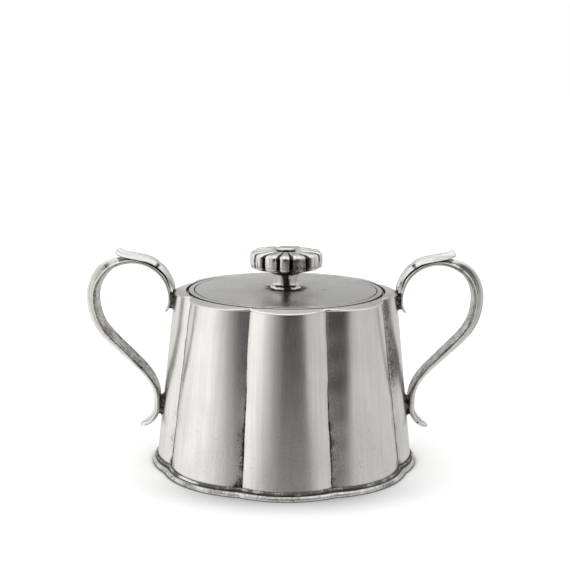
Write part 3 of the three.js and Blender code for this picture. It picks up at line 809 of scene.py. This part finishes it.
def make_stem():
    side = smooth_curve([(6.35, 73.5), (6.3, 74.1), (5.95, 74.7), (5.3, 75.4), (5.1, 76.2),
                         (5.15, 77.4), (5.3, 78.6), (5.7, 79.6), (6.3, 80.5)], 44)
    path = np.vstack([[(0, 73.5), (4, 73.5), (6.1, 73.46)], side, [(4, 80.5), (0, 80.5)]])
    rings, angle = round_rings(path, 120)
    radius, height = path[:, :1], path[:, 1:]
    foot = 1 - smoothstep(height, 73.9, 74.9)
    scallop = 0.1 * np.cos(9 * angle + 0.8) * foot + 0.03 * np.cos(6 * angle) * (1 - foot)
    scale = 1 + np.where(radius > 1, scallop / radius.clip(1), 0)
    rings = rings * np.stack([scale, scale, np.ones_like(scale)], -1)
    rings = rings + 0.02 * rough_noise(rings, 3.5, 3.0)[..., None] * np.array([1, 1, 0])
    patina_and_shade = np.maximum(0.85 * bell(height, 74.75, 0.22) * (0.6 + rough_noise(rings, 2.0, 1.0)),
                        bell(height, 73.5, 0.25))
    patina_and_shade = np.maximum(patina_and_shade, smoothstep(height, 79.2, 80.2))
    # Painted dark reflections in three places round the neck, one of them at the front
    turned = (angle + 0.03 * (height - 77)) % (2 * math.pi)
    dark = np.zeros_like(turned)
    for middle, half in ((0.0, 0.28), (2 * math.pi, 0.28), (2.3, 0.3), (4.3, 0.25)):
        dark = np.maximum(dark, 1 - smoothstep(abs(turned - middle), half - 0.12, half + 0.14))
    patina_and_shade = np.maximum(patina_and_shade, 0.8 * dark)
    grain = 0.1 + 0.3 * rough_noise(rings, 2.0, 6.0)
    across, along = flow_round(rings, path, upright=True)
    stem = surface("knob_neck", rings, across, along, {"patina_and_shade": patina_and_shade, "grain": grain.clip(0, 1)},
                   sharp=60)
    return fit(stem, "pewter_cast", "lid", "knob_stem")


def make_flower():
    side = smooth_curve([(4.8, 80.35), (7.4, 80.75), (10.4, 81.3), (13.2, 81.85), (14.7, 82.6),
                         (15.15, 84.0), (15.2, 85.8), (15.1, 87.4), (14.75, 88.35), (13.9, 88.95),
                         (12.5, 89.25), (10.5, 89.4), (8.0, 89.5), (5.6, 89.4), (4.2, 89.0)], 100)
    path = np.vstack([[(0, 80.3), (3, 80.3)], side, [(3.6, 88.9), (0, 88.8)]])
    length = np.concatenate([[0], np.cumsum(np.linalg.norm(np.diff(path, axis=0), axis=1))])
    tangent = np.gradient(path, axis=0)
    tangent /= np.linalg.norm(tangent, axis=1)[:, None]
    outward = np.stack([tangent[:, 1], -tangent[:, 0]], 1)
    radius, height = path[:, :1], path[:, 1:]
    angles, withins, petals = [], [], []
    grooves = sorted(PETAL_GROOVES)
    for petal, start in enumerate(grooves):
        stop = grooves[(petal + 1) % len(grooves)] + (360 if petal == len(grooves) - 1 else 0)
        for step in range(16):
            within = -math.cos(math.pi * step / 16)
            angles.append(math.radians(start + (stop - start) * (within + 1) / 2))
            withins.append(within)
            petals.append(petal)
    angle, within, petal = np.array(angles), np.array(withins), np.array(petals)
    on_top = smoothstep(height, 86.5, 89.5)
    depth = lerp(2.3, 1.25, on_top) * smoothstep(radius, 4.2, 9.0)
    depth = depth * lerp(0.7, 1, smoothstep(height, 81.5, 83))
    sag = abs(within) ** lerp(3.8, 3.2, on_top)
    plump = 0.12 * np.sin(2.4 * petal + 0.7) * smoothstep(radius, 9, 14) * (1 - abs(within) ** 2)
    move = -depth * sag + plump - 0.1 * smoothstep(radius, 9, 14)
    edge = path[:, None, :] + outward[:, None, :] * move[..., None]
    turned = angle + 0.05 * np.sin(1.3 * petal) * (1 - smoothstep(radius, 4, 12))
    rings = np.stack([edge[..., 0] * np.sin(turned), -edge[..., 0] * np.cos(turned), edge[..., 1]], -1)
    rings = rings + 0.035 * rough_noise(rings, 4.5, 8.0)[..., None]
    rings[..., 2] = rings[..., 2].clip(80.3, 90.6)
    in_groove = smoothstep(abs(within), 0.58, 0.85) * smoothstep(radius, 4.0, 7.0)
    patina_and_shade = in_groove * (0.9 + 0.35 * rough_noise(rings, 1.5, 4.0))
    patina_and_shade = np.maximum(patina_and_shade, (1 - smoothstep(radius, 3.7, 4.6)) * 1.0)
    patina_and_shade = np.maximum(patina_and_shade, (1 - smoothstep(height, 80.6, 82.2)) * 0.85)
    # Painted dark reflections low on the petals, two at the front and two weaker ones round the back
    painted_petal_reflection = bell(angle % (2 * math.pi), 0.12, 0.3) + bell(angle % (2 * math.pi), 0.62, 0.22)
    painted_petal_reflection = painted_petal_reflection + 0.7 * bell(angle % (2 * math.pi), 2.5, 0.5) + 0.6 * bell(angle % (2 * math.pi), 4.4, 0.4)
    painted_petal_reflection = painted_petal_reflection * np.minimum(1, 1.3 - abs(within + 0.15) ** 3)
    patina_and_shade = np.maximum(patina_and_shade, painted_petal_reflection[None, :] * 0.72 * (1 - smoothstep(height, 87.4, 88.5)))
    worn = rough_noise(rings, 3.0, 11.0)
    grain = 0.08 + 0.6 * smoothstep(worn, 0.2, 0.5)
    around = np.linspace(0, 2 * math.pi * 14, len(angle) + 1)[None, :].repeat(len(path), 0)
    up = length[:, None].repeat(len(angle) + 1, 1)
    flower = surface("knob_petals", rings, around, up, {"patina_and_shade": patina_and_shade, "grain": grain}, sharp=70)
    return fit(flower, "pewter_cast", "lid", "knob_flower")


def make_button():
    side = smooth_curve([(3.5, 89.0), (3.8, 89.4), (3.85, 89.8), (3.65, 90.3), (3.0, 90.65),
                         (1.6, 90.85), (0.0, 90.9)], 26)
    path = np.vstack([[(0, 89.0)], side])
    rings, _ = round_rings(path, 72)
    rings = rings + 0.04 * rough_noise(rings, 1.6, 2.0)[..., None] * np.array([1, 1, 0.3])
    patina_and_shade = 1 - smoothstep(path[:, 1:], 89.6, 90.0)
    across, along = flow_flat(rings)
    button = surface("knob_eye", rings, across, along, {"patina_and_shade": patina_and_shade, "grain": 0.2}, sharp=60)
    return fit(button, "pewter_cast", "lid", "knob_button")


def make_fastening():
    path = outline([(1.8, 70.4, 0.1), (4.5, 70.4, 0.2), (4.5, 71.3, 0.15), (1.8, 71.3, 0.1)],
                   longest=1.0)
    rings, _ = round_rings(path, 72)
    across, along = flow_round(rings, path, upright=False)
    washer = surface("knob_washer_fine", rings, across, along, {"patina_and_shade": 0.15, "grain": 0.2},
                     closed_rows=True)
    fit(washer, "screw_metal", "lid", "knob_washer")
    head = smooth_curve([(0.0, 68.35), (1.4, 68.4), (2.5, 68.7), (3.1, 69.25), (3.2, 69.8)], 18)
    thread = []
    for turn in np.arange(70.3, 78.3, 0.35):
        thread += [(1.5, turn), (1.32, turn + 0.17)]
    path = np.vstack([head, [(3.2, 70.25), (1.5, 70.3)], thread, [(1.2, 78.45), (0, 78.5)]])
    rings, _ = round_rings(path, 64)
    # A straight driver slot across the head
    slot = (1 - smoothstep(abs(rings[..., 1]), 0.32, 0.42)) * (rings[..., 2] < 69.5)
    rings[..., 2] += slot * (69.2 - rings[..., 2]).clip(0)
    across, along = flow_flat(rings)
    screw = surface("knob_screw_fine", rings, across, along, {"patina_and_shade": slot * 0.6, "grain": 0.15},
                    sharp=35)
    fit(screw, "screw_metal", "lid", "knob_screw")


make_wall()
make_flange()
make_shoulder()
make_floor_plate()
make_seat()
for side, turn in (("right", 0.0), ("left", math.pi)):
    make_scroll(side, turn)
    make_leaf(side, turn)
    make_pad(side, turn, "upper", f"handle_{side}_upper_pad")
    make_pad(side, turn, "lower", f"handle_{side}_lower_pad")
make_lid()
make_collar()
make_stem()
make_flower()
make_button()
make_fastening()


# ---- Studio ----


def make_studio():
    """A white table under a soft overhead light, with a large soft light on the left, a weaker
    one on the right, and an unlit side in front."""
    scene = bpy.context.scene
    scene.view_settings.view_transform = "Standard"
    mesh = bpy.data.meshes.new("table_top")
    reach, sides = 4.0, 64
    turns = [2 * math.pi * i / sides for i in range(sides)]
    ring = [(reach * math.cos(a), reach * math.sin(a), 0) for a in turns]
    mesh.from_pydata(ring, [], [list(range(sides))])
    table = bpy.data.objects.new("table_top", mesh)
    scene.collection.objects.link(table)
    table.visible_glossy = False
    paper = bpy.data.materials.new("paper")
    paper.use_nodes = True
    n = Nodes(paper.node_tree)
    white, shade = (0.93, 0.93, 0.93, 1), (0.14, 0.14, 0.14, 1)
    # The shadow is close round the foot, and falls further towards the front
    place = n.add("SeparateXYZ", {"Vector": n.add("TexCoord").outputs["Object"]}).outputs
    close = n.add("AmbientOcclusion", {"Distance": 0.006}, samples=8).outputs["AO"]
    wide = n.add("AmbientOcclusion", {"Distance": 0.03}, samples=8).outputs["AO"]
    forward = n.ramp(place[1], -0.015, -0.055)
    wide = n.math("MULTIPLY", forward, n.ramp(wide, 0.96, 0.4, smooth=False))
    close = n.ramp(close, 0.9, 0.45, smooth=False)
    shaded = n.mix(n.math("MAXIMUM", wide, close), white, shade)
    shader = n.add("BsdfPrincipled", {"Base Color": shaded, "Roughness": 0.9,
                                      "Specular IOR Level": 0.0, "Emission Color": shaded,
                                      "Emission Strength": 0.14})
    n.add("OutputMaterial", {"Surface": shader.outputs[0]})
    mesh.materials.append(paper)

    world = bpy.data.worlds.new("studio")
    world.use_nodes = True
    scene.world = world
    n = Nodes(world.node_tree)
    direction = n.add("TexCoord").outputs["Generated"]
    parts = n.add("SeparateXYZ", {"Vector": direction}).outputs
    azimuth = n.math("MULTIPLY", n.math("ARCTAN2", parts[0], n.math("MULTIPLY", parts[1], -1.0)),
                     180 / math.pi)
    height = n.math("MULTIPLY", n.math("ARCSINE", parts[2]), 180 / math.pi)
    left = n.math("MULTIPLY", n.ramp(azimuth, -6, -66, smooth=False),
                  n.ramp(azimuth, -95, -170, 1.27, 0.82))
    right = n.math("MULTIPLY", n.ramp(azimuth, 33, 48), n.ramp(azimuth, 140, 178, 0.76, 0.75))
    sides = n.math("ADD", n.math("ADD", left, right), 0.027)
    behind = n.ramp(n.math("ABSOLUTE", azimuth), 150, 168)
    dip = n.math("MULTIPLY", behind, n.ramp(height, 8, 14, 0.0, 0.45))
    sides = n.math("SUBTRACT", sides, dip)
    near = n.math("ADD", n.ramp(height, -3, -6.5, 0.0, 0.44), n.ramp(height, -9, -45, 0.0, 0.52))
    low = n.math("MAXIMUM", sides, near)
    level = n.math("ADD", n.math("MULTIPLY", low, n.ramp(height, 18, 50, 1.0, 0.0)),
                   n.ramp(height, 18, 50, 0.0, 1.35))
    seen = n.add("LightPath").outputs["Is Camera Ray"]
    lights = n.add("Background", {"Color": (1, 1, 1, 1), "Strength": level})
    backdrop = n.add("Background", {"Color": (1, 1, 1, 1), "Strength": 1.0})
    blend = n.add("MixShader", {0: seen, 1: lights.outputs[0], 2: backdrop.outputs[0]})
    n.add("OutputWorld", {"Surface": blend.outputs[0]})


def make_camera():
    """A long lens in front, a little above the lid and a touch left of the middle."""
    distance, height = 530.7, 173.3
    azimuth, pitch, roll, yaw = (math.radians(a) for a in (-1.3, 10.53, 0.55, -0.035))
    turn = azimuth - yaw
    level = Vector((-math.sin(turn), math.cos(turn), 0))
    sideways = Vector((math.cos(turn), math.sin(turn), 0))
    ahead = level * math.cos(pitch) - Vector((0, 0, math.sin(pitch)))
    up = level * math.sin(pitch) + Vector((0, 0, math.cos(pitch)))
    right = sideways * math.cos(roll) + up * math.sin(roll)
    up = up * math.cos(roll) - sideways * math.sin(roll)
    data = bpy.data.cameras.new("camera")
    data.lens = 82.18
    data.sensor_width = 36
    camera = bpy.data.objects.new("camera", data)
    bpy.context.scene.collection.objects.link(camera)
    rotation = Matrix((right, up, -ahead)).transposed().to_4x4()
    spot = Vector((distance * math.sin(azimuth), -distance * math.cos(azimuth), height)) * MM
    camera.matrix_world = Matrix.Translation(spot) @ rotation
    bpy.context.scene.camera = camera


make_studio()
make_camera()

bpy.context.view_layer.update()
